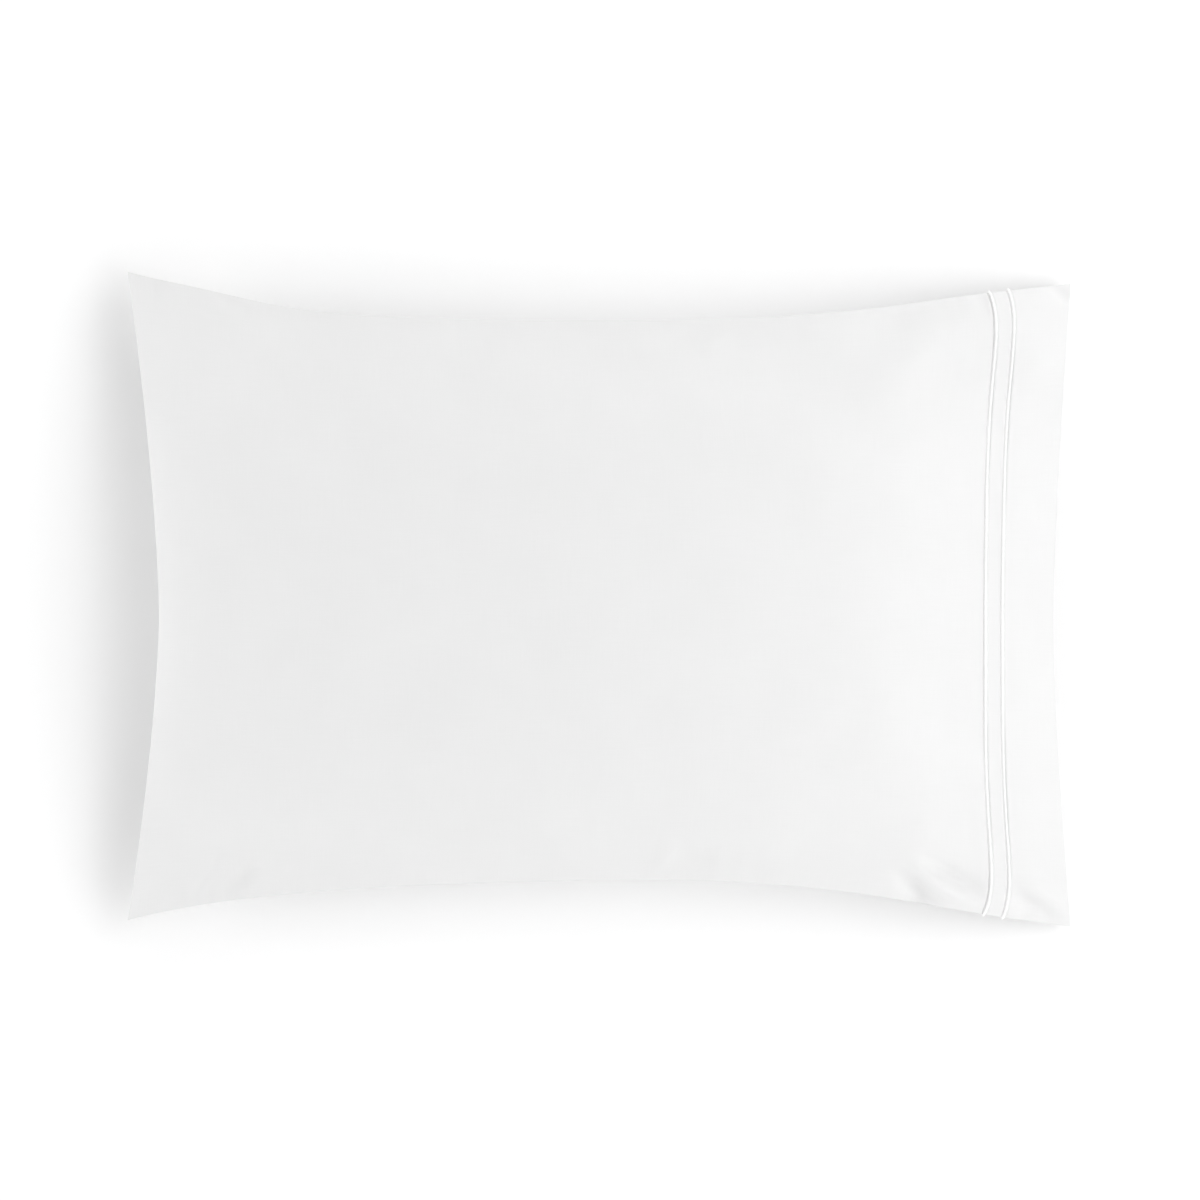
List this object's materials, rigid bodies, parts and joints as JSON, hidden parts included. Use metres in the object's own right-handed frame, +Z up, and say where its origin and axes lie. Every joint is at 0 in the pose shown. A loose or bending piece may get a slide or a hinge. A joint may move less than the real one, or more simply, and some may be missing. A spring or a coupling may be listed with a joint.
{
  "type": "pillowcase",
  "caption": "Filled white cotton pillowcase lying flat, with drawn-in sides, pointed corners and an open end with a deep hem and raised satin-stitched rows.",
  "frame": {"origin": "on the floor, below the middle of the case's outline", "axes": "+X along the case towards the open hemmed end, +Y across it towards the side seam at the top of the picture, +Z up out of the flat patch that the case rests on"},
  "size_m": [0.7328, 0.5088, 0.1737],
  "materials": {
    "white_cotton": "smooth matte cotton",
    "satin_thread": "satin-stitched cotton thread"
  },
  "bodies": {
    "root": {"case": "white_cotton", "stitch_row_inner": "satin_thread", "stitch_row_outer": "satin_thread"}
  },
  "joints": []
}
